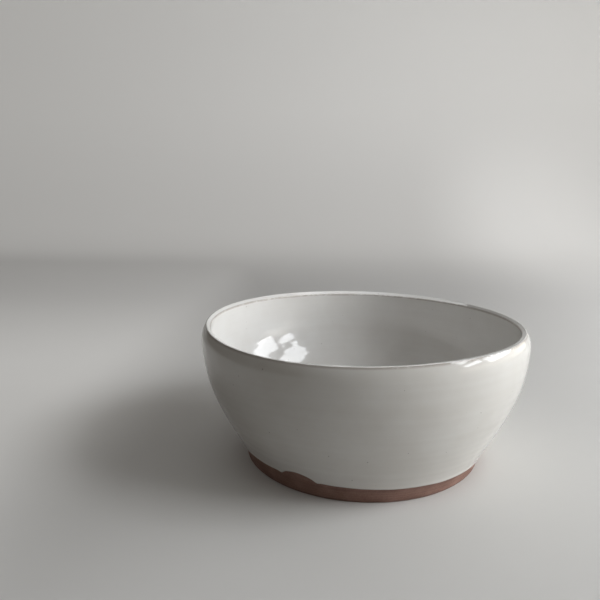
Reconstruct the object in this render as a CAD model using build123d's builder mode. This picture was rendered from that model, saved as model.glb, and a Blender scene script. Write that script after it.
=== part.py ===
"""Wheel-thrown prep bowl: a stoneware body with a trimmed foot, a liner glaze and an outside glaze."""
from build123d import *
import os
from math import atan2, cos, degrees, radians, sin, tan

os.makedirs("parts", exist_ok=True)

# Overall form of the finished bowl, in millimetres and degrees
bowl_diameter = 152.0
bowl_height = 64.5
belly_depth = 6.4
rim_turn_in = 1.8
rim_thickness = 2.4
rim_slope = 34.0
crest_radius = 0.6

# Foot, trimmed steep at its side and hollowed a little underneath
foot_diameter = 111.6
foot_bevel = 0.8
foot_lean = 8.0
foot_ring_width = 8.0
foot_hollow = 2.0
foot_hollow_slope = 3.0

# Sweep of the wall, and how thick the clay is
foot_swing = 11.0
belly_swing = 28.5
wall_thickness = 5.0
floor_thickness = 6.4
floor_diameter = 56.0
inner_rim_lean = 6.0

# Glaze coats: the outside coat stops at a line that leans up towards minus X
glaze_thickness = 0.4
coat_spans = 16
dip_height = 7.5
dip_lean = 2.3

# Bare patch in the edge of the outside coat, where a finger held the bowl in the glaze
patch_width = 16.0
patch_rise = 2.8
patch_azimuth = 244.5

# Clay sizes under the glaze
clay_radius = bowl_diameter / 2 - glaze_thickness
clay_top = bowl_height - glaze_thickness
belly_height = bowl_height - belly_depth
foot_radius = foot_diameter / 2
foot_ring_inside = foot_radius - foot_ring_width
floor_height = foot_hollow + floor_thickness

# Crest of the clay's rim, a small round, and the shoulder arc that runs into it from the belly
clay_crest = crest_radius - glaze_thickness
crest_centre = Vector(clay_radius - rim_turn_in - clay_crest, clay_top - clay_crest)
shoulder_in = clay_radius - crest_centre.X
shoulder_up = crest_centre.Y - belly_height
shoulder_radius = (shoulder_in**2 + shoulder_up**2 - clay_crest**2) / (2 * rim_turn_in)
shoulder_turn = degrees(atan2(shoulder_up, shoulder_radius - shoulder_in))

# Top of the rim, which slopes down from the crest to an inner edge
rim_turn = 90 + rim_slope
rim_normal = Vector(cos(radians(rim_turn)), sin(radians(rim_turn)))
rim_outer = crest_centre + clay_crest * rim_normal
rim_run = rim_outer.X - (clay_radius - rim_turn_in - rim_thickness + 2 * glaze_thickness)
rim_inner = rim_outer - rim_run * Vector(1, tan(radians(rim_slope)))

# Outside of the clay, from the foot's bevel up to where the crest begins
foot_corner = Vector(foot_radius, foot_bevel)
belly_point = Vector(clay_radius, belly_height)
foot_handle = foot_corner + foot_swing * Vector(sin(radians(foot_lean)), cos(radians(foot_lean)))
belly_handle = belly_point - Vector(0, belly_swing)
shoulder_centre = (clay_radius - shoulder_radius, belly_height)
with BuildLine() as outside_line:
    wall = Bezier(foot_corner, foot_handle, belly_handle, belly_point)
    shoulder = CenterArc(shoulder_centre, shoulder_radius, 0, shoulder_turn)

# Rim and inside of the clay, from where the crest begins down to the middle of the floor
# The inner wall is one curve, which leans in at the rim as the shoulder does and is level at the floor
# It passes the point that lies one wall thickness in from the middle of the outside wall
wall_inward = (wall % 0.5).rotate(Axis.Z, 90)
wall_point = wall @ 0.5 + wall_thickness * wall_inward
floor_edge = Vector(floor_diameter / 2, floor_height)
rim_drop = (4 * (rim_inner.Y + floor_edge.Y) - 8 * wall_point.Y) / 3
rim_flare = rim_drop * tan(radians(inner_rim_lean))
floor_reach = (8 * wall_point.X - 4 * (rim_inner.X + floor_edge.X)) / 3 - rim_flare
rim_handle = rim_inner + Vector(rim_flare, -rim_drop)
floor_handle = floor_edge + Vector(floor_reach, 0)
with BuildLine() as inside_line:
    crest = CenterArc(crest_centre, clay_crest, shoulder_turn, rim_turn - shoulder_turn)
    rim_top = Line(crest @ 1, rim_inner)
    inner_wall = Bezier(rim_inner, rim_handle, floor_handle, floor_edge)
    floor = Line(floor_edge, (0, floor_height))


def coat_face(clay_curve):
    """Free face of a glaze coat, one coat thickness to the right of a clay curve."""
    stations = [station / coat_spans for station in range(coat_spans + 1)]
    points = [clay_curve @ t + glaze_thickness * (clay_curve % t).rotate(Axis.Z, -90) for t in stations]
    return Spline(points, tangents=(clay_curve % 0, clay_curve % 1), tangent_scalars=(1, 1))


# Clay body, thrown and trimmed in one piece
with BuildPart() as clay_body:
    with BuildSketch(Plane.XZ):
        with BuildLine():
            add(outside_line.line)
            add(inside_line.line)
            Polyline(
                floor @ 1,
                (0, foot_hollow),
                (foot_ring_inside - foot_hollow_slope, foot_hollow),
                (foot_ring_inside, 0),
                (foot_radius - foot_bevel, 0),
                foot_corner,
            )
        make_face()
    revolve(axis=Axis.Z)

# Liner coat, poured inside and wiped over the rim
with BuildPart() as inner_glaze:
    with BuildSketch(Plane.XZ):
        with BuildLine():
            add(inside_line.line)
            crest_face = CenterArc(crest_centre, crest_radius, shoulder_turn, rim_turn - shoulder_turn)
            rim_edge = CenterArc(rim_inner, glaze_thickness, rim_turn, 180 + inner_rim_lean - rim_turn)
            inner_face = coat_face(inner_wall)
            Line(crest @ 0, crest_face @ 0)
            Line(crest_face @ 1, rim_edge @ 0)
            Polyline(inner_face @ 1, (0, floor_height + glaze_thickness), floor @ 1)
        make_face()
    revolve(axis=Axis.Z)

# Outside coat, dipped on a slight lean, with its bare patch at the edge
dip_plane = Plane((0, 0, dip_height)).rotated((0, dip_lean, 0))
patch_radius = (patch_width**2 / 4 + patch_rise**2) / (2 * patch_rise)
patch_out = Vector(cos(radians(patch_azimuth)), sin(radians(patch_azimuth)), 0)
patch_along = Vector(-patch_out.Y, patch_out.X, 0)
patch_top = dip_height - foot_radius * patch_out.X * tan(radians(dip_lean)) + patch_rise
patch_plane = Plane((0, 0, patch_top - patch_radius), x_dir=patch_along, z_dir=patch_out)
with BuildPart() as outer_glaze:
    with BuildSketch(Plane.XZ):
        with BuildLine():
            add(outside_line.line)
            shoulder_face = CenterArc(shoulder_centre, shoulder_radius + glaze_thickness, 0, shoulder_turn)
            outer_face = coat_face(wall)
            Line(shoulder @ 1, shoulder_face @ 1)
            Line(wall @ 0, outer_face @ 0)
        make_face()
    revolve(axis=Axis.Z)
    split(bisect_by=dip_plane, keep=Keep.TOP)
    with BuildSketch(patch_plane):
        Circle(patch_radius)
    extrude(amount=bowl_diameter / 2, mode=Mode.SUBTRACT)

clay_body.part.label = "clay_body"
inner_glaze.part.label = "inner_glaze"
outer_glaze.part.label = "outer_glaze"
export_step(clay_body.part, "parts/clay_body.step")
export_step(inner_glaze.part, "parts/inner_glaze.step")
export_step(outer_glaze.part, "parts/outer_glaze.step")
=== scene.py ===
from math import atan2, cos, pi, radians, sin, tan

import bpy
from mathutils import Matrix, Vector
from mathutils.geometry import interpolate_bezier


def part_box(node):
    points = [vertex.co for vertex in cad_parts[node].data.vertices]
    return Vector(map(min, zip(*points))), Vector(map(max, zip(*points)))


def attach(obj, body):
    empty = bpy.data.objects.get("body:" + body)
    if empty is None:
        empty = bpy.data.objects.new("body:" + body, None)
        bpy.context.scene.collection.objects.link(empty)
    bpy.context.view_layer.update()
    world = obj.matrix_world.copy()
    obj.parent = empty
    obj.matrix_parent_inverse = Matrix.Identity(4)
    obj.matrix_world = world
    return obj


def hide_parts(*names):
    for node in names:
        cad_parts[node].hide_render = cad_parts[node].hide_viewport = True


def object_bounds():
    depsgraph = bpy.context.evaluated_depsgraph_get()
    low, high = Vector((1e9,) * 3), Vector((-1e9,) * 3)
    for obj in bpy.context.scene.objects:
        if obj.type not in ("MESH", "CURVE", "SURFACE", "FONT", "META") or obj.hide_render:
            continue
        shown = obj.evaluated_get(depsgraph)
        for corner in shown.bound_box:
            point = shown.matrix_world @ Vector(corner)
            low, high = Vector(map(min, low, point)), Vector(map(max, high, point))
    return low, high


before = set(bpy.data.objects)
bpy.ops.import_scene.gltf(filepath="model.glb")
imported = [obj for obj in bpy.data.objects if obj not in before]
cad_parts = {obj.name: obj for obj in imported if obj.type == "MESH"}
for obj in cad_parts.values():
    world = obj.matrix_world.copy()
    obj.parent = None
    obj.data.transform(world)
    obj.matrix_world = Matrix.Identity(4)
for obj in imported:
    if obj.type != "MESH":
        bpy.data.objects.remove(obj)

MM = 0.001
cad_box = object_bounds()
clay_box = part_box("clay_body")

# Finished outside of the bowl, read from the frame
bowl_radius = cad_box[1].x
bowl_height = cad_box[1].z
coat = bowl_height - clay_box[1].z

# Turned profile of the clay
belly_depth = 6.4 * MM
rim_turn_in = 1.8 * MM
rim_thickness = 2.4 * MM
rim_slope = radians(34)
crest_radius = 0.6 * MM
foot_radius = 55.8 * MM
foot_bevel = 0.8 * MM
foot_lean = radians(8)
foot_ring_width = 8 * MM
foot_hollow = 2 * MM
foot_hollow_slope = 3 * MM
foot_swing = 11 * MM
belly_swing = 28.5 * MM
wall_thickness = 5 * MM
floor_height = 8.4 * MM
floor_radius = 28 * MM
inner_rim_lean = radians(6)

# Lower edge of the outside coat, measured up the wall from the foot's bevel
dip_rise = 7.35 * MM
dip_lean = 2.1 * MM
edge_wander = 0.28 * MM
edge_wander_gain = 4.0
edge_roll = 1.1 * MM
edge_bead = 0.25
edge_seed = 3.0

# Bare patch in that edge, with a drip at each side. The drips' place and width are in half widths of the patch
patch_azimuth = radians(244.6)
patch_half_angle = radians(8.1)
patch_rise = 3.2 * MM
patch_drip = 0.45 * MM
drip_place = 1.05
drip_width = 0.16

# How the hand shows in the form: a rim that is neither level nor quite round, a slight lean, and throwing rings
rim_level = -0.24 * MM
rim_tilt = (-0.17 * MM, 0.25 * MM)
rim_saddle = (0.06 * MM, -0.67 * MM)
rim_third = (-0.22 * MM, -0.03 * MM)
rim_oval = (0.10 * MM, -0.69 * MM)
rim_top_level = 0.05 * MM
rim_top_tilt = (0.24 * MM, -0.55 * MM)
rim_rise_from = 0.3
body_lean = (-0.38 * MM, -0.13 * MM)
body_lean_from = 0.05
ring_pitch = 4.3 * MM
ring_depth = 0.014 * MM
ring_wander = 1.6
ring_wander_scale = 0.6
slow_ring_rate = 0.37
slow_ring_share = 0.8
sway_size = 45 * MM
sway_depth = 0.25 * MM

# Where throwing rings fade in, as distances from the foot, the crest, the inner edge, the axis and the foot ring
rings_off_foot = (8 * MM, 14 * MM)
rings_off_crest = (3 * MM, 9 * MM)
rings_off_inner_edge = (5 * MM, 14 * MM)
rings_off_axis = (0.0, 6 * MM)
rings_off_foot_ring = (4 * MM, 8 * MM)

# Where the glaze is thin, as distances from the joint of the two coats and from the rim's inner edge
thin_below_joint = (0.32 * MM, 0.0)
thin_above_joint = (0.12 * MM, 0.0)
thin_at_inner_edge = (0.22 * MM, 0.02 * MM)
inner_edge_thinness = 0.9

# Where the rim's top tips on its own: from just before the end of the crest to a little below the inner edge
rim_top_lead = 0.1 * MM
rim_top_fade = (14 * MM, 1 * MM)

# Mesh fineness
segments = 512
coat_rows = 96
back_rows = 24
row_crowding = 1.5
curve_steps = 600
shoulder_steps = 80
outside_rows = 260
crest_rows = 12
rim_top_shares = (0.25, 0.5, 0.75)
inner_edge_rows = 7
inner_wall_rows = 110
floor_rows = 20
underside_rows = (40, 6, 12, 4)
weld_distance = 2e-6
sharp_edge_angle = radians(50)

# Under the coats, only every so many rows are kept
body_outside_step = 5
body_inside_step = 3
liner_rim_step = 3
liner_wall_step = 6

# Glaze colours, the spans of cloud over which it pools and wears, and how far brown and specks cover it
glaze_pool_span = (0.3, 0.7)
glaze_wear_span = (0.55, 1.05)
liner_milk = (0.81, 0.805, 0.785, 1)
liner_shade = (0.77, 0.757, 0.732, 1)
liner_line_share = 0.35
dipped_milk = (0.80, 0.787, 0.75, 1)
dipped_shade = (0.755, 0.735, 0.692, 1)
dipped_line_share = 0.45
thin_brown = (0.30, 0.235, 0.19, 1)
thin_brown_cover = 0.62
speck_brown = (0.15, 0.115, 0.095, 1)
speck_cover = 0.6

# Glaze surface
glaze_index = 1.52
glaze_roughness = 0.035
glaze_roughness_spread = 0.05
speck_roughness = 0.25
glaze_line_height = 0.25
speck_height = -0.8
glaze_bump_strength = 0.06
glaze_bump_depth = 0.3 * MM

# Bare clay colours, and how strongly the grain, lines, painted shade in the pits and pale grains show
clay_dark = (0.226, 0.126, 0.097, 1)
clay_light = (0.332, 0.198, 0.158, 1)
clay_tone_span = (0.25, 0.75)
clay_grain_share = 0.7
clay_line_share = 0.25
# Painted shade laid into the pits
painted_pit_shade = (0.10, 0.055, 0.04, 1)
painted_pit_shade_cover = 0.5
pale_grain = (0.72, 0.66, 0.58, 1)
pale_grain_cover = 0.8

# Bare clay surface
clay_roughness = 0.74
clay_roughness_spread = 0.15
clay_line_height = 0.8
pit_height = -0.9
clay_bump_strength = 0.35
clay_bump_depth = 0.2 * MM


class Maker:
    """Adds nodes to one tree. A value is a plain number, colour or vector, or a socket to wire from."""

    def __init__(self, tree):
        self.tree = tree

    def put(self, value, socket):
        if isinstance(value, bpy.types.NodeSocket):
            self.tree.links.new(value, socket)
        else:
            socket.default_value = value

    def add(self, kind, inputs=None, **settings):
        made = self.tree.nodes.new(kind)
        for name, value in settings.items():
            setattr(made, name, value)
        for key, value in (inputs or {}).items():
            self.put(value, made.inputs[key])
        return made

    def math(self, operation, first, second=0.0, third=0.0):
        made = self.add("ShaderNodeMath", {0: first, 1: second, 2: third}, operation=operation)
        return made.outputs[0]

    def vector(self, operation, first, second=(0, 0, 0)):
        made = self.add("ShaderNodeVectorMath", {0: first, 1: second}, operation=operation)
        return made.outputs[0]

    def scaled(self, vector, factor):
        made = self.add("ShaderNodeVectorMath", {0: vector, "Scale": factor}, operation="SCALE")
        return made.outputs[0]

    def split(self, vector):
        return self.add("ShaderNodeSeparateXYZ", {0: vector}).outputs

    def join(self, x, y, z):
        return self.add("ShaderNodeCombineXYZ", {0: x, 1: y, 2: z}).outputs[0]

    def blend(self, factor, first, second):
        made = self.add("ShaderNodeMix", {0: factor, 6: first, 7: second}, data_type="RGBA")
        return made.outputs[2]

    def ease(self, value, low, high, start=0.0, end=1.0):
        made = self.add(
            "ShaderNodeMapRange",
            {0: value, 1: low, 2: high, 3: start, 4: end},
            interpolation_type="SMOOTHSTEP",
        )
        return made.outputs[0]

    def noise(self, vector, scale, detail=2.0, roughness=0.5):
        made = self.add(
            "ShaderNodeTexNoise",
            {"Vector": vector, "Scale": scale, "Detail": detail, "Roughness": roughness},
        )
        return made.outputs[0]

    def bell(self, distance):
        """One at no distance, falling off smoothly to both sides."""
        return self.math("EXPONENT", self.math("MULTIPLY", self.math("MULTIPLY", distance, distance), -1.0))


def socket(tree, side, name, kind, value=None):
    """A named input or output of a tree."""
    made = tree.interface.new_socket(name=name, in_out=side, socket_type="NodeSocket" + kind)
    if value is not None:
        made.default_value = value


# Lines of the profile, as points of radius and height


def even(points, count):
    """Points at an even spacing along a line, with both ends kept."""
    steps = [0.0]
    for before, after in zip(points, points[1:]):
        steps.append(steps[-1] + (after - before).length)
    out, place = [], 0
    for number in range(count):
        goal = steps[-1] * number / (count - 1)
        while place < len(points) - 2 and steps[place + 1] < goal:
            place += 1
        share = (goal - steps[place]) / (steps[place + 1] - steps[place])
        out.append(points[place].lerp(points[place + 1], share))
    return out


def arc(centre, radius, start, end, count):
    angles = [start + (end - start) * number / (count - 1) for number in range(count)]
    return [centre + radius * Vector((cos(angle), sin(angle))) for angle in angles]


def swung(start, start_handle, end_handle, end):
    """A curve from start to end that sets off and arrives along its handles."""
    points = interpolate_bezier(start, start_handle, end_handle, end, curve_steps)
    return [Vector((point[0], point[1])) for point in points]


# Crest of the rim, and the shoulder arc that runs into it from the belly
clay_radius = bowl_radius - coat
clay_top = bowl_height - coat
belly_height = bowl_height - belly_depth
clay_crest = crest_radius - coat
crest_centre = Vector((clay_radius - rim_turn_in - clay_crest, clay_top - clay_crest))
shoulder_in = clay_radius - crest_centre.x
shoulder_up = crest_centre.y - belly_height
shoulder_radius = (shoulder_in**2 + shoulder_up**2 - clay_crest**2) / (2 * rim_turn_in)
shoulder_turn = atan2(shoulder_up, shoulder_radius - shoulder_in)
shoulder_centre = Vector((clay_radius - shoulder_radius, belly_height))

# Top of the rim, which slopes down to its inner edge
rim_turn = pi / 2 + rim_slope
rim_outer = crest_centre + clay_crest * Vector((cos(rim_turn), sin(rim_turn)))
rim_run = rim_outer.x - (clay_radius - rim_turn_in - rim_thickness + 2 * coat)
rim_inner = rim_outer - rim_run * Vector((1, tan(rim_slope)))

# Outside of the clay, from the foot's bevel up to the crest
foot_corner = Vector((foot_radius, foot_bevel))
belly_point = Vector((clay_radius, belly_height))
foot_handle = foot_corner + foot_swing * Vector((sin(foot_lean), cos(foot_lean)))
belly_handle = belly_point - Vector((0, belly_swing))
wall_line = swung(foot_corner, foot_handle, belly_handle, belly_point)
shoulder_line = arc(shoulder_centre, shoulder_radius, 0, shoulder_turn, shoulder_steps)
outside_line = wall_line + shoulder_line[1:]

# Inside of the clay: one curve that passes a wall thickness in from the middle of the outside wall
halfway = curve_steps // 2
wall_tangent = (wall_line[halfway + 1] - wall_line[halfway - 1]).normalized()
wall_point = wall_line[halfway] + wall_thickness * Vector((-wall_tangent.y, wall_tangent.x))
floor_edge = Vector((floor_radius, floor_height))
rim_drop = (4 * (rim_inner.y + floor_edge.y) - 8 * wall_point.y) / 3
rim_flare = rim_drop * tan(inner_rim_lean)
floor_reach = (8 * wall_point.x - 4 * (rim_inner.x + floor_edge.x)) / 3 - rim_flare
rim_handle = rim_inner + Vector((rim_flare, -rim_drop))
floor_handle = floor_edge + Vector((floor_reach, 0))
inner_line = swung(rim_inner, rim_handle, floor_handle, floor_edge)
floor_line = [floor_edge, Vector((0, floor_height))]

# Underside: the hollow, its slope, the ring that the bowl stands on, and the bevel
ring_inside = foot_radius - foot_ring_width
underside_line = [
    Vector((0, foot_hollow)),
    Vector((ring_inside - foot_hollow_slope, foot_hollow)),
    Vector((ring_inside, 0)),
    Vector((foot_radius - foot_bevel, 0)),
    foot_corner,
]


class Station:
    """One place on the clay's surface: where it is, which way is off the clay, and how far along the line."""

    def __init__(self, point, away, along=0.0):
        self.point = point
        self.away = away
        self.along = along
        self.rings = 0.0
        self.thin = 0.0
        self.rim_top = 0.0

    def lifted(self, height):
        """The same station on the face of a coat of that thickness."""
        raised = Station(self.point + self.away * height, self.away, self.along)
        raised.rings, raised.thin, raised.rim_top = self.rings, self.thin, self.rim_top
        return raised


def stations(points):
    """Stations along a line whose free side is to the right of its direction."""
    out, along = [], 0.0
    for number, point in enumerate(points):
        before = points[max(number - 1, 0)]
        after = points[min(number + 1, len(points) - 1)]
        along += (point - before).length
        heading = (after - before).normalized()
        out.append(Station(point, Vector((heading.y, -heading.x)), along))
    return out


def turning(centre, radius, start, end, count):
    """Stations round a small round, or on a sharp edge, where the way off the clay swings round."""
    headings = arc(Vector((0, 0)), 1, start, end, count)
    return [Station(centre + radius * heading, heading) for heading in headings]


def smooth(value, low, high):
    share = min(max((value - low) / (high - low), 0.0), 1.0)
    return share * share * (3 - 2 * share)


outside = stations(even(outside_line, outside_rows))
outside_length = outside[-1].along
for place in outside:
    below = outside_length - place.along
    place.rings = smooth(place.along, *rings_off_foot) * smooth(below, *rings_off_crest)
    place.thin = smooth(below, *thin_below_joint)

rim_places = turning(crest_centre, clay_crest, shoulder_turn, rim_turn, crest_rows)
rim_heading = rim_places[-1].away
for share in rim_top_shares:
    rim_places.append(Station(rim_outer.lerp(rim_inner, share), rim_heading))
rim_places += turning(rim_inner, 0.0, rim_turn, pi + inner_rim_lean, inner_edge_rows)
rim_count = len(rim_places)
inner_places = stations(even(inner_line, inner_wall_rows))
floor_places = stations(even(floor_line, floor_rows))
inside = rim_places + inner_places[1:] + floor_places[1:]
run = 0.0
for before, place in zip([inside[0]] + inside, inside):
    run += (place.point - before.point).length
    place.along = run
rim_edge_at = rim_places[-1].along
crest_at = rim_places[crest_rows - 1].along
for place in inside:
    past_edge = place.along - rim_edge_at
    place.rings = smooth(past_edge, *rings_off_inner_edge)
    place.thin = max(
        smooth(place.along, *thin_above_joint),
        inner_edge_thinness * smooth(abs(past_edge), *thin_at_inner_edge),
    )
    place.rim_top = smooth(place.along, crest_at - rim_top_lead, rim_edge_at) * smooth(past_edge, *rim_top_fade)
for place in inside[-floor_rows:]:
    place.away = Vector((0, 1))

bottom = []
for start, end, count in zip(underside_line, underside_line[1:], underside_rows):
    bottom += stations(even([start, end], count + 1))[:-1]
for place in bottom[:underside_rows[0]]:
    place.along = place.point.x
    place.rings = smooth(place.point.x, *rings_off_axis)
    place.rings *= smooth(ring_inside - place.point.x, *rings_off_foot_ring)


def profile_mesh(name, places):
    """A line of stations as a mesh in the XZ plane, with what each station knows as attributes."""
    mesh = bpy.data.meshes.new(name)
    points = [(place.point.x, 0, place.point.y) for place in places]
    mesh.from_pydata(points, [(n, n + 1) for n in range(len(points) - 1)], [])
    away = [value for place in places for value in (place.away.x, 0, place.away.y)]
    mesh.attributes.new("away", "FLOAT_VECTOR", "POINT").data.foreach_set("vector", away)
    for known in ("along", "rings", "thin", "rim_top"):
        values = [getattr(place, known) for place in places]
        mesh.attributes.new(known, "FLOAT", "POINT").data.foreach_set("value", values)
    return mesh


# Geometry node trees that turn the profile on the wheel


def named(make, name, kind="FLOAT"):
    return make.add("GeometryNodeInputNamedAttribute", {"Name": name}, data_type=kind).outputs[0]


def stored(make, geometry, fields):
    """The geometry with each named field kept on its points."""
    for name, value, kind in fields:
        geometry = make.add(
            "GeometryNodeStoreNamedAttribute",
            {"Geometry": geometry, "Name": name, "Value": value},
            data_type=kind,
            domain="POINT",
        ).outputs[0]
    return geometry


def hand_group():
    """Moves a turned form the way that the hand left it: rings, sway, an unlevel rim and a slight lean."""
    tree = bpy.data.node_groups.new("hand_of_the_thrower", "GeometryNodeTree")
    socket(tree, "INPUT", "Geometry", "Geometry")
    for name, value in (
        ("Height", bowl_height),
        ("Rim Level", rim_level),
        ("Rim Tilt Side", rim_tilt[0]),
        ("Rim Tilt Front", rim_tilt[1]),
        ("Rim Saddle Square", rim_saddle[0]),
        ("Rim Saddle Corner", rim_saddle[1]),
        ("Rim Third Side", rim_third[0]),
        ("Rim Third Front", rim_third[1]),
        ("Rim Oval Square", rim_oval[0]),
        ("Rim Oval Corner", rim_oval[1]),
        ("Rim Top Level", rim_top_level),
        ("Rim Top Tilt Side", rim_top_tilt[0]),
        ("Rim Top Tilt Front", rim_top_tilt[1]),
        ("Lean Side", body_lean[0]),
        ("Lean Front", body_lean[1]),
        ("Ring Pitch", ring_pitch),
        ("Ring Depth", ring_depth),
        ("Sway Size", sway_size),
        ("Sway Depth", sway_depth),
    ):
        socket(tree, "INPUT", name, "Float", value)
    socket(tree, "OUTPUT", "Geometry", "Geometry")
    make = Maker(tree)
    given = make.add("NodeGroupInput").outputs
    place = make.add("GeometryNodeInputPosition").outputs[0]
    x, y, z = make.split(place)
    turn = make.math("ARCTAN2", y, x)
    level = make.math("DIVIDE", z, given["Height"])
    rise = make.ease(level, rim_rise_from, 1.0)

    def waves(count, side, front, start):
        """Side and front waves round the bowl, added to a starting value."""
        angle = make.math("MULTIPLY", turn, count)
        total = make.math("MULTIPLY_ADD", make.math("COSINE", angle), given[side], start)
        return make.math("MULTIPLY_ADD", make.math("SINE", angle), given[front], total)

    # Rim up and down, rim in and out, and the lean of the whole
    tilt = waves(1.0, "Rim Tilt Side", "Rim Tilt Front", given["Rim Level"])
    tilt = waves(2.0, "Rim Saddle Square", "Rim Saddle Corner", tilt)
    tilt = waves(3.0, "Rim Third Side", "Rim Third Front", tilt)
    lift = make.math("MULTIPLY", tilt, rise)
    top = waves(1.0, "Rim Top Tilt Side", "Rim Top Tilt Front", given["Rim Top Level"])
    lift = make.math("MULTIPLY_ADD", top, named(make, "rim_top"), lift)
    oval = make.math("MULTIPLY", waves(2.0, "Rim Oval Square", "Rim Oval Corner", 0.0), rise)
    swing = make.ease(level, body_lean_from, 1.0)
    side = make.math("MULTIPLY", given["Lean Side"], swing)
    side = make.math("MULTIPLY_ADD", make.math("COSINE", turn), oval, side)
    front = make.math("MULTIPLY", given["Lean Front"], swing)
    front = make.math("MULTIPLY_ADD", make.math("SINE", turn), oval, front)

    # Throwing rings, which spiral up the wall, and the slow sway of the wall
    along, rings = named(make, "along"), named(make, "rings")
    wobble = make.noise(place, make.math("DIVIDE", ring_wander_scale, given["Sway Size"]), detail=1.0)
    phase = make.math("DIVIDE", along, given["Ring Pitch"])
    phase = make.math("MULTIPLY_ADD", wobble, ring_wander, phase)
    spiral = make.math("MULTIPLY_ADD", phase, 2 * pi, turn)
    slow = make.math("SINE", make.math("MULTIPLY", spiral, slow_ring_rate))
    slow = make.math("MULTIPLY", slow, slow_ring_share)
    ring = make.math("ADD", make.math("SINE", spiral), slow)
    ring = make.math("MULTIPLY", make.math("MULTIPLY", ring, given["Ring Depth"]), rings)
    sway = make.noise(place, make.math("DIVIDE", 1.0, given["Sway Size"]), detail=0.0)
    sway = make.math("MULTIPLY", make.math("SUBTRACT", sway, 0.5), given["Sway Depth"])
    sway = make.math("MULTIPLY", sway, rings)
    off = make.math("ADD", ring, sway)
    shift = make.scaled(named(make, "away", "FLOAT_VECTOR"), off)
    shift = make.vector("ADD", shift, make.join(side, front, lift))
    moved = make.add("GeometryNodeSetPosition", {"Geometry": given["Geometry"], "Offset": shift})
    make.add("NodeGroupOutput", {"Geometry": moved.outputs[0]})
    return tree


def wheel_grid(make, turns, rows):
    """A grid with a column for each turn of the wheel, with each point's row and its angle round the axis."""
    columns = make.math("ADD", turns, 1.0)
    grid = make.add("GeometryNodeMeshGrid", {"Vertices X": columns, "Vertices Y": rows}).outputs[0]
    index = make.add("GeometryNodeInputIndex").outputs[0]
    row = make.math("MODULO", index, rows)
    column = make.math("FLOOR", make.math("DIVIDE", make.math("ADD", index, 0.5), rows))
    turn = make.math("DIVIDE", make.math("MULTIPLY", column, 2 * pi), turns)
    return grid, row, turn


def turned(make, turn, flat):
    """A profile vector, turned round the axis to where its column stands."""
    out, _, up = make.split(flat)
    return make.join(
        make.math("MULTIPLY", out, make.math("COSINE", turn)),
        make.math("MULTIPLY", out, make.math("SINE", turn)),
        up,
    )


def finished(make, geometry, position, hand, material):
    """Places the points, closes the seam and the poles, adds the hand, and sets the material."""
    placed = make.add("GeometryNodeSetPosition", {"Geometry": geometry, "Position": position})
    closed = make.add(
        "GeometryNodeMergeByDistance", {"Geometry": placed.outputs[0], "Distance": weld_distance}
    )
    faces_beside = make.add("GeometryNodeInputMeshEdgeNeighbors").outputs[0]
    bare_edges = make.math("LESS_THAN", faces_beside, 0.5)
    cleared = make.add(
        "GeometryNodeDeleteGeometry",
        {"Geometry": closed.outputs[0], "Selection": bare_edges},
        domain="EDGE",
        mode="EDGE_FACE",
    )
    drifted = make.add("GeometryNodeGroup", node_tree=hand)
    make.put(cleared.outputs[0], drifted.inputs["Geometry"])
    whole = make.add("GeometryNodeRealizeInstances", {"Geometry": drifted.outputs[0]})
    smoothed = make.add("GeometryNodeSetShadeSmooth", {"Geometry": whole.outputs[0]})
    dressed = make.add(
        "GeometryNodeSetMaterial", {"Geometry": smoothed.outputs[0], "Material": material}
    )
    make.add("NodeGroupOutput", {"Geometry": dressed.outputs[0]})


def turned_form_tree(hand):
    """Turns a profile line into a closed form of revolution."""
    tree = bpy.data.node_groups.new("turned_form", "GeometryNodeTree")
    socket(tree, "INPUT", "Geometry", "Geometry")
    socket(tree, "INPUT", "Segments", "Int", segments)
    socket(tree, "INPUT", "Material", "Material")
    socket(tree, "OUTPUT", "Geometry", "Geometry")
    make = Maker(tree)
    given = make.add("NodeGroupInput").outputs
    count = make.add("GeometryNodeAttributeDomainSize", {"Geometry": given["Geometry"]}).outputs[0]
    grid, row, turn = wheel_grid(make, given["Segments"], count)

    def at_row(value, kind):
        sample = make.add("GeometryNodeSampleIndex", data_type=kind, domain="POINT")
        make.put(given["Geometry"], sample.inputs["Geometry"])
        make.put(value, sample.inputs["Value"])
        make.put(row, sample.inputs["Index"])
        return sample.outputs[0]

    flat = at_row(make.add("GeometryNodeInputPosition").outputs[0], "FLOAT_VECTOR")
    away = at_row(named(make, "away", "FLOAT_VECTOR"), "FLOAT_VECTOR")
    fields = [("away", turned(make, turn, away), "FLOAT_VECTOR")]
    for known in ("along", "rings", "thin", "rim_top"):
        fields.append((known, at_row(named(make, known), "FLOAT"), "FLOAT"))
    finished(make, stored(make, grid, fields), turned(make, turn, flat), hand, given["Material"])
    return tree


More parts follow.
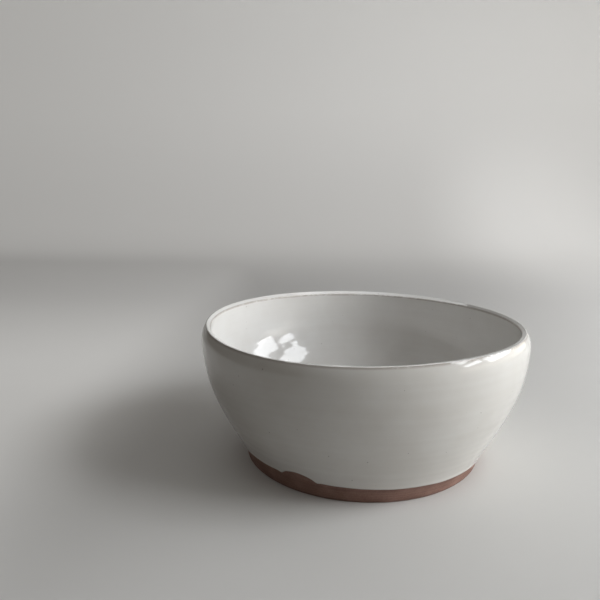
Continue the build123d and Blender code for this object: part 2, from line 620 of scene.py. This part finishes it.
def dipped_coat_tree(hand):
    """Lays a coat on a wall line, from a wandering lower edge with a bare patch up to the rim."""
    tree = bpy.data.node_groups.new("dipped_coat", "GeometryNodeTree")
    socket(tree, "INPUT", "Geometry", "Geometry")
    for name, kind, value in (
        ("Segments", "Int", segments),
        ("Face Rows", "Int", coat_rows),
        ("Back Rows", "Int", back_rows),
        ("Thickness", "Float", coat),
        ("Dip Rise", "Float", dip_rise),
        ("Dip Lean", "Float", dip_lean),
        ("Edge Wander", "Float", edge_wander),
        ("Edge Roll", "Float", edge_roll),
        ("Patch Azimuth", "Float", patch_azimuth),
        ("Patch Half Angle", "Float", patch_half_angle),
        ("Patch Rise", "Float", patch_rise),
        ("Patch Drip", "Float", patch_drip),
        ("Seed", "Float", edge_seed),
    ):
        socket(tree, "INPUT", name, kind, value)
    socket(tree, "INPUT", "Material", "Material")
    socket(tree, "OUTPUT", "Geometry", "Geometry")
    make = Maker(tree)
    given = make.add("NodeGroupInput").outputs
    line = make.add("GeometryNodeMeshToCurve", {"Mesh": given["Geometry"]}).outputs[0]
    length = make.add("GeometryNodeCurveLength", {"Curve": line}).outputs[0]
    rows = make.math("ADD", given["Face Rows"], given["Back Rows"])
    grid, row, turn = wheel_grid(make, given["Segments"], rows)

    # Lower edge, as a length up the wall line
    around = make.join(make.math("COSINE", turn), make.math("SINE", turn), given["Seed"])
    wander = make.noise(around, scale=3.0, detail=5.0, roughness=0.62)
    wander = make.math("SUBTRACT", wander, 0.5)
    wander_depth = make.math("MULTIPLY", given["Edge Wander"], edge_wander_gain)
    downhill = make.math("MULTIPLY", given["Dip Lean"], -1.0)
    edge = make.math("MULTIPLY_ADD", make.math("COSINE", turn), downhill, given["Dip Rise"])
    edge = make.math("MULTIPLY_ADD", wander, wander_depth, edge)

    # Bare patch in the edge, and its two drips
    from_patch = make.math("SUBTRACT", turn, given["Patch Azimuth"])
    from_patch = make.math("DIVIDE", from_patch, given["Patch Half Angle"])
    hollow = make.math("SUBTRACT", 1.0, make.math("MULTIPLY", from_patch, from_patch))
    hollow = make.math("MULTIPLY", make.math("MAXIMUM", hollow, 0.0), given["Patch Rise"])
    from_drip = make.math("SUBTRACT", make.math("ABSOLUTE", from_patch), drip_place)
    drip = make.bell(make.math("DIVIDE", from_drip, drip_width))
    hollow = make.math("SUBTRACT", hollow, make.math("MULTIPLY", drip, given["Patch Drip"]))
    edge = make.math("ADD", edge, hollow)

    # Each row's share of the way from the edge to the rim, on the face and then back along the clay
    on_back = make.math("GREATER_THAN", row, make.math("SUBTRACT", given["Face Rows"], 0.5))
    face_share = make.math("DIVIDE", row, make.math("SUBTRACT", given["Face Rows"], 1.0))
    to_last = make.math("SUBTRACT", make.math("SUBTRACT", rows, 1.0), row)
    back_share = make.math("DIVIDE", to_last, make.math("SUBTRACT", given["Back Rows"], 1.0))
    share = make.add("ShaderNodeMix", {0: on_back, 2: face_share, 3: back_share}).outputs[0]
    share = make.math("POWER", share, row_crowding)
    gap = make.math("MULTIPLY", share, make.math("SUBTRACT", length, edge))
    along = make.math("ADD", edge, gap)

    def on_line(value, kind):
        sample = make.add("GeometryNodeSampleCurve", data_type=kind, mode="LENGTH")
        make.put(line, sample.inputs["Curves"])
        make.put(value, sample.inputs["Value"])
        make.put(along, sample.inputs["Length"])
        return sample.outputs["Value"]

    flat = on_line(make.add("GeometryNodeInputPosition").outputs[0], "FLOAT_VECTOR")
    away = on_line(named(make, "away", "FLOAT_VECTOR"), "FLOAT_VECTOR")

    # Coat thickness, rolled round at the lower edge with a slight bead behind it
    near = make.math("MINIMUM", make.math("DIVIDE", gap, given["Edge Roll"]), 1.0)
    short = make.math("SUBTRACT", 1.0, near)
    roll = make.math("SUBTRACT", 1.0, make.math("MULTIPLY", short, short))
    roll = make.math("SQRT", make.math("MAXIMUM", roll, 0.0))
    from_bead = make.math("SUBTRACT", gap, given["Edge Roll"])
    bead = make.bell(make.math("DIVIDE", from_bead, given["Edge Roll"]))
    roll = make.math("MULTIPLY", roll, make.math("MULTIPLY_ADD", bead, edge_bead, 1.0))
    stand = make.math("MULTIPLY", roll, given["Thickness"])
    stand = make.math("MULTIPLY", stand, make.math("SUBTRACT", 1.0, on_back))
    lifted = make.vector("ADD", flat, make.scaled(away, stand))

    fields = [
        ("away", turned(make, turn, away), "FLOAT_VECTOR"),
        ("along", along, "FLOAT"),
        ("rings", on_line(named(make, "rings"), "FLOAT"), "FLOAT"),
        ("thin", on_line(named(make, "thin"), "FLOAT"), "FLOAT"),
    ]
    finished(make, stored(make, grid, fields), turned(make, turn, lifted), hand, given["Material"])
    return tree


def made_piece(name, places, tree, material):
    """Runs a tree on a line of stations and keeps the result as a plain mesh piece at the origin."""
    source = bpy.data.objects.new(name + "_line", profile_mesh(name + "_profile", places))
    bpy.context.scene.collection.objects.link(source)
    modifier = source.modifiers.new("wheel", "NODES")
    modifier.node_group = tree
    for item in tree.interface.items_tree:
        if item.in_out == "INPUT" and item.name == "Material":
            modifier[item.identifier] = material
    ready = source.evaluated_get(bpy.context.evaluated_depsgraph_get())
    mesh = bpy.data.meshes.new_from_object(ready)
    mesh.name = name
    source.modifiers.remove(modifier)
    bpy.data.objects.remove(source)
    mesh.set_sharp_from_angle(angle=sharp_edge_angle)
    piece = bpy.data.objects.new(name, mesh)
    bpy.context.scene.collection.objects.link(piece)
    return piece


# Finishes


def lines_group():
    """Fine level lines left by the fingers or the trimming tool, as a tone."""
    tree = bpy.data.node_groups.new("wheel_lines", "ShaderNodeTree")
    socket(tree, "INPUT", "Vector", "Vector")
    socket(tree, "INPUT", "Lines per Metre", "Float", 300.0)
    socket(tree, "INPUT", "Run", "Float", 8.0)
    socket(tree, "OUTPUT", "Tone", "Float")
    make = Maker(tree)
    given = make.add("NodeGroupInput").outputs
    stretch = make.join(given["Run"], given["Run"], given["Lines per Metre"])
    stretched = make.vector("MULTIPLY", given["Vector"], stretch)
    tone = make.noise(stretched, scale=1.0, detail=3.0, roughness=0.6)
    tone_span = (0.3, 0.7)
    make.add("NodeGroupOutput", {"Tone": make.ease(tone, *tone_span)})
    return tree


def specks_group():
    """Scattered round specks of uneven size, as a mask."""
    tree = bpy.data.node_groups.new("kiln_specks", "ShaderNodeTree")
    socket(tree, "INPUT", "Vector", "Vector")
    socket(tree, "INPUT", "Specks per Metre", "Float", 150.0)
    socket(tree, "INPUT", "Size", "Float", 0.1)
    socket(tree, "INPUT", "Share", "Float", 0.2)
    socket(tree, "OUTPUT", "Mask", "Float")
    make = Maker(tree)
    given = make.add("NodeGroupInput").outputs
    cells = make.add(
        "ShaderNodeTexVoronoi", {"Vector": given["Vector"], "Scale": given["Specks per Metre"]}
    ).outputs
    chance = make.split(cells["Color"])
    kept = make.math("LESS_THAN", chance[0], given["Share"])
    least_size, size_spread, edge_span = 0.4, 0.8, (1.0, 0.6)
    size = make.math("MULTIPLY_ADD", chance[1], size_spread, least_size)
    size = make.math("MULTIPLY", given["Size"], size)
    dot = make.ease(make.math("DIVIDE", cells["Distance"], size), *edge_span)
    make.add("NodeGroupOutput", {"Mask": make.math("MULTIPLY", dot, kept)})
    return tree


wheel_lines = lines_group()
kiln_specks = specks_group()


def new_finish(name):
    """A blank material, a maker for its nodes, and the place of each point on the piece."""
    material = bpy.data.materials.new(name)
    material.use_nodes = True
    material.node_tree.nodes.clear()
    make = Maker(material.node_tree)
    return material, make, make.add("ShaderNodeTexCoord").outputs["Object"]


def surfaced(make, inputs):
    """Ends a finish in its shader."""
    shader = make.add("ShaderNodeBsdfPrincipled", inputs)
    make.add("ShaderNodeOutputMaterial", {"Surface": shader.outputs[0]})


def group(make, tree, **values):
    made = make.add("ShaderNodeGroup", node_tree=tree)
    for name, value in values.items():
        make.put(value, made.inputs[name.replace("_", " ")])
    return made.outputs[0]


def covered(make, colour, mask, cover, over):
    """The colour, with another laid over it where the mask is."""
    return make.blend(make.math("MULTIPLY", mask, cover), colour, over)


def glaze_finish(name, milk, shade, line_share):
    """Glossy off-white glaze over dark clay: it pools, thins to brown on the rim, and carries kiln specks."""
    material, make, place = new_finish(name)
    cloud = make.noise(place, scale=38.0, detail=3.0, roughness=0.55)
    lines = group(make, wheel_lines, Vector=place, Lines_per_Metre=260.0, Run=7.0)
    pooled = make.ease(cloud, *glaze_pool_span)
    pooled = make.math("MULTIPLY_ADD", make.math("SUBTRACT", lines, 0.5), line_share, pooled)
    colour = make.blend(pooled, milk, shade)

    thin = make.add("ShaderNodeAttribute", attribute_name="thin").outputs["Fac"]
    fine_wear = make.noise(place, scale=520.0, detail=2.0, roughness=0.6)
    broad_wear = make.noise(place, scale=55.0, detail=2.0, roughness=0.5)
    worn = make.ease(make.math("ADD", fine_wear, broad_wear), *glaze_wear_span)
    colour = covered(make, colour, make.math("MULTIPLY", thin, worn), thin_brown_cover, thin_brown)

    small = group(make, kiln_specks, Vector=place, Specks_per_Metre=330.0, Size=0.10, Share=0.17)
    large = group(make, kiln_specks, Vector=place, Specks_per_Metre=130.0, Size=0.055, Share=0.2)
    specks = make.math("MAXIMUM", small, large)
    colour = covered(make, colour, specks, speck_cover, speck_brown)

    rough = make.math("MULTIPLY_ADD", cloud, glaze_roughness_spread, glaze_roughness)
    rough = make.math("MULTIPLY_ADD", specks, speck_roughness, rough)
    peel = make.noise(place, scale=260.0, detail=2.0, roughness=0.5)
    height = make.math("MULTIPLY_ADD", lines, glaze_line_height, peel)
    height = make.math("MULTIPLY_ADD", specks, speck_height, height)
    bump = make.add(
        "ShaderNodeBump",
        {"Strength": glaze_bump_strength, "Distance": glaze_bump_depth, "Height": height},
    )
    surfaced(make, {"Base Color": colour, "Roughness": rough, "IOR": glaze_index, "Normal": bump.outputs[0]})
    return material


def clay_finish(name):
    """Matte red-brown stoneware with fine grain, trimming lines, small pits darkened with painted shade, and a few
    pale grains.
    """
    material, make, place = new_finish(name)
    grain = make.noise(place, scale=1900.0, detail=3.0, roughness=0.7)
    cloud = make.noise(place, scale=90.0, detail=4.0, roughness=0.6)
    lines = group(make, wheel_lines, Vector=place, Lines_per_Metre=1300.0, Run=14.0)
    tone = make.math("MULTIPLY_ADD", make.math("SUBTRACT", grain, 0.5), clay_grain_share, cloud)
    tone = make.math("MULTIPLY_ADD", make.math("SUBTRACT", lines, 0.5), clay_line_share, tone)
    colour = make.blend(make.ease(tone, *clay_tone_span), clay_dark, clay_light)
    pits_with_painted_shade = group(make, kiln_specks, Vector=place, Specks_per_Metre=620.0, Size=0.16, Share=0.16)
    # Painted shade: the pits are darkened in colour as well as sunk by the bump
    colour = covered(make, colour, pits_with_painted_shade, painted_pit_shade_cover, painted_pit_shade)
    grains = group(make, kiln_specks, Vector=place, Specks_per_Metre=240.0, Size=0.075, Share=0.09)
    colour = covered(make, colour, grains, pale_grain_cover, pale_grain)

    rough = make.math("MULTIPLY_ADD", grain, clay_roughness_spread, clay_roughness)
    height = make.math("MULTIPLY_ADD", lines, clay_line_height, grain)
    height = make.math("MULTIPLY_ADD", pits_with_painted_shade, pit_height, height)
    bump = make.add(
        "ShaderNodeBump",
        {"Strength": clay_bump_strength, "Distance": clay_bump_depth, "Height": height},
    )
    surfaced(make, {"Base Color": colour, "Roughness": rough, "Normal": bump.outputs[0]})
    return material


liner_finish = glaze_finish("liner_glaze_finish", liner_milk, liner_shade, liner_line_share)
dipped_finish = glaze_finish("dipped_glaze_finish", dipped_milk, dipped_shade, dipped_line_share)
bare_finish = clay_finish("bare_clay_finish")

# Pieces of the bowl
hand = hand_group()
turned_form = turned_form_tree(hand)
dipped_coat = dipped_coat_tree(hand)

clay_places = bottom + outside[::body_outside_step] + [outside[-1]]
clay_places += inside[1:rim_count] + inside[rim_count::body_inside_step] + [inside[-1]]
liner_back = inside[:rim_count:liner_rim_step] + inside[rim_count - 1::liner_wall_step] + [inside[-1]]
liner_places = [place.lifted(coat) for place in inside] + liner_back[::-1] + [inside[0].lifted(coat)]

thrown_body = made_piece("thrown_body", clay_places, turned_form, bare_finish)
liner = made_piece("liner_coat", liner_places, turned_form, liner_finish)
dipped = made_piece("dipped_coat", outside, dipped_coat, dipped_finish)

for piece, node, finish_slot in (
    (thrown_body, "clay_body", "bare_clay"),
    (liner, "inner_glaze", "white_glaze"),
    (dipped, "outer_glaze", "white_glaze"),
):
    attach(piece, "root")
    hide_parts(node)


# Plain pale floor that sweeps up behind the bowl


def floor_finish():
    """Pale matte finish. It lights the bowl by one set of tones and shows in another, so each can be set alone.
    Both carry painted shade, and what is seen also carries painted light.
    """
    # Tones, and the spans of place over which one passes into the next
    bounce_dark, bounce_light = (0.42, 0.415, 0.405, 1), (0.47, 0.465, 0.455, 1)
    # Painted shade: the floor's left bounces less light onto the bowl, which deepens the shade low on its left
    bounce_left_painted_shade, bounce_left_painted_shade_span = (0.16, 0.158, 0.154, 1), (-0.03, -0.13)
    seen_dark, seen_light = (0.655, 0.65, 0.632, 1), (0.715, 0.71, 0.692, 1)
    seen_behind, seen_behind_span = (0.59, 0.585, 0.575, 1), (0.05, 0.5)
    # Painted shade: the floor far to the right, near the lamps, is seen much darker, against the pool of light
    # that they cast there
    far_right_painted_shade, far_right_painted_shade_span = (0.07, 0.0695, 0.069, 1), (0.33, 0.8)
    sweep_tone, sweep_span = (0.74, 0.735, 0.72, 1), (0.0, 0.35)
    floor_roughness = 0.7

    # Painted light, seen only by the camera and in reflections: a glow on the back of the floor and the sweep, on
    # the floor's left where the lamps' long shadow lies, and on the floor's right; as spans of place and the
    # strengths at their two ends
    painted_light_colour = (1.0, 0.99, 0.96, 1)
    behind_span, behind_painted_light = (0.3, 0.95), 0.22
    left_span, left_painted_light = (-0.1, -0.2), (0.015, 0.21)
    left_depth_span, left_depth_share = (0.4, 0.04), (0.55, 1.0)
    right_span, right_painted_light = (0.08, 0.3), (0.0, 0.14)
    right_height_span = (0.3, 0.0)

    material, make, place = new_finish("floor_finish")
    ray = make.add("ShaderNodeLightPath").outputs
    seen = make.math("MAXIMUM", ray["Is Camera Ray"], ray["Is Glossy Ray"])
    cloud = make.noise(place, scale=6.0, detail=4.0, roughness=0.6)
    side, depth, height = make.split(place)
    bounced = make.blend(cloud, bounce_dark, bounce_light)
    # Painted shade on the left of the bounced tone
    bounced = make.blend(make.ease(side, *bounce_left_painted_shade_span), bounced, bounce_left_painted_shade)
    seen_tone = make.blend(cloud, seen_dark, seen_light)
    seen_tone = make.blend(make.ease(depth, *seen_behind_span), seen_tone, seen_behind)
    # Painted shade on the floor far to the right
    seen_tone = make.blend(make.ease(side, *far_right_painted_shade_span), seen_tone, far_right_painted_shade)
    tone = make.blend(seen, bounced, seen_tone)
    tone = make.blend(make.ease(height, *sweep_span), tone, sweep_tone)

    # Painted light that lifts the back of the floor and the bend of the sweep
    behind = make.math("MULTIPLY", make.ease(depth, *behind_span), behind_painted_light)
    # Painted light that lifts the floor on the left, where the lamps' long shadow lies, less so further back
    left = make.ease(side, *left_span, *left_painted_light)
    left = make.math("MULTIPLY", left, make.ease(depth, *left_depth_span, *left_depth_share))
    # Painted light on the floor to the right of the bowl, fading up the sweep
    right = make.ease(side, *right_span, *right_painted_light)
    right = make.math("MULTIPLY", right, make.ease(height, *right_height_span))
    # All the painted light, seen only by the camera and in reflections
    painted_light_strength = make.math("ADD", make.math("MAXIMUM", behind, left), right)
    painted_light_strength = make.math("MULTIPLY", seen, painted_light_strength)
    surfaced(make, {
        "Base Color": tone,
        "Roughness": floor_roughness,
        "Emission Color": painted_light_colour,
        "Emission Strength": painted_light_strength,
    })
    return material


def sweep_floor():
    front, back, bend, top = -1.6, 0.75, 0.45, 1.5
    left, right = -1.0, 2.2
    bend_rows = 24
    line = [Vector((front, 0)), Vector((back, 0))]
    line += arc(Vector((back, bend)), bend, -pi / 2, 0, bend_rows)[1:]
    line.append(Vector((back + bend, top)))
    mesh = bpy.data.meshes.new("floor")
    points = [(side, point.x, point.y) for point in line for side in (left, right)]
    faces = [(2 * n, 2 * n + 1, 2 * n + 3, 2 * n + 2) for n in range(len(line) - 1)]
    mesh.from_pydata(points, [], faces)
    mesh.shade_smooth()
    mesh.materials.append(floor_finish())
    piece = bpy.data.objects.new("floor", mesh)
    bpy.context.scene.collection.objects.link(piece)


sweep_floor()

# Light: three panes and two broad panels on the right, a card overhead for reflections, and an even surround
lamp_aim = Vector((0, 0, 0.03))
white = (1, 1, 1)
cool = (0.95, 0.972, 1.0)
warm = (1.0, 0.93, 0.81)
surround_colour = (1.0, 0.938, 0.865, 1)
surround_strength = 0.135


def panel(name, azimuth, elevation, distance, size, power, colour, roll=0.0):
    """A soft rectangular lamp that faces the bowl from an azimuth off plus X and an elevation, in degrees."""
    lamp = bpy.data.lights.new(name, "AREA")
    lamp.shape = "RECTANGLE"
    lamp.size, lamp.size_y = size
    lamp.energy = power
    lamp.color = colour
    holder = bpy.data.objects.new(name, lamp)
    turn, tip = radians(azimuth), radians(elevation)
    outward = Vector((cos(turn) * cos(tip), sin(turn) * cos(tip), sin(tip)))
    facing = outward.to_track_quat("Z", "Y").to_matrix() @ Matrix.Rotation(radians(roll), 3, "Z")
    holder.matrix_world = Matrix.Translation(lamp_aim + distance * outward) @ facing.to_4x4()
    bpy.context.scene.collection.objects.link(holder)
    return holder


panel("side_pane_low", 10, 20.5, 1.0, (0.46, 0.24), 2.7, cool, roll=4)
panel("side_pane_small", -16, 22, 1.0, (0.28, 0.12), 0.9, cool, roll=19)
panel("side_pane_high", -13, 39.5, 1.0, (0.44, 0.28), 3.3, cool, roll=19)
panel("low_side_panel", 8, 8, 1.1, (1.6, 0.32), 2.75, warm)
soft_side_panel = panel("soft_side_panel", -6, 9, 1.1, (1.2, 0.32), 3.8, cool)
soft_side_panel.visible_glossy = False
overhead_card = panel("overhead_card", 90, 82, 1.1, (1.2, 1.1), 16.0, white)
overhead_card.visible_diffuse = False

world = bpy.data.worlds.new("surround")
world.use_nodes = True
surround = world.node_tree.nodes["Background"].inputs
surround["Color"].default_value = surround_colour
surround["Strength"].default_value = surround_strength
bpy.context.scene.world = world

# Camera where the photograph was taken from
camera_place = Vector((0, -0.2828, 0.1301))
camera_yaw, camera_pitch, camera_roll = radians(-6.06), radians(11.31), radians(-0.10)
camera_data = bpy.data.cameras.new("camera")
camera_data.sensor_width = 36.0
camera_data.lens = 36.16
camera_data.clip_start = 0.01
camera = bpy.data.objects.new("camera", camera_data)
ahead = Vector((sin(camera_yaw) * cos(camera_pitch), cos(camera_yaw) * cos(camera_pitch), -sin(camera_pitch)))
right = ahead.cross(Vector((0, 0, 1))).normalized()
upward = right.cross(ahead)
right, upward = (
    cos(camera_roll) * right + sin(camera_roll) * upward,
    cos(camera_roll) * upward - sin(camera_roll) * right,
)
camera_turn = Matrix((right, upward, -ahead)).transposed()
camera.matrix_world = Matrix.Translation(camera_place) @ camera_turn.to_4x4()
bpy.context.scene.collection.objects.link(camera)
bpy.context.scene.camera = camera
bpy.context.scene.view_settings.view_transform = "Standard"
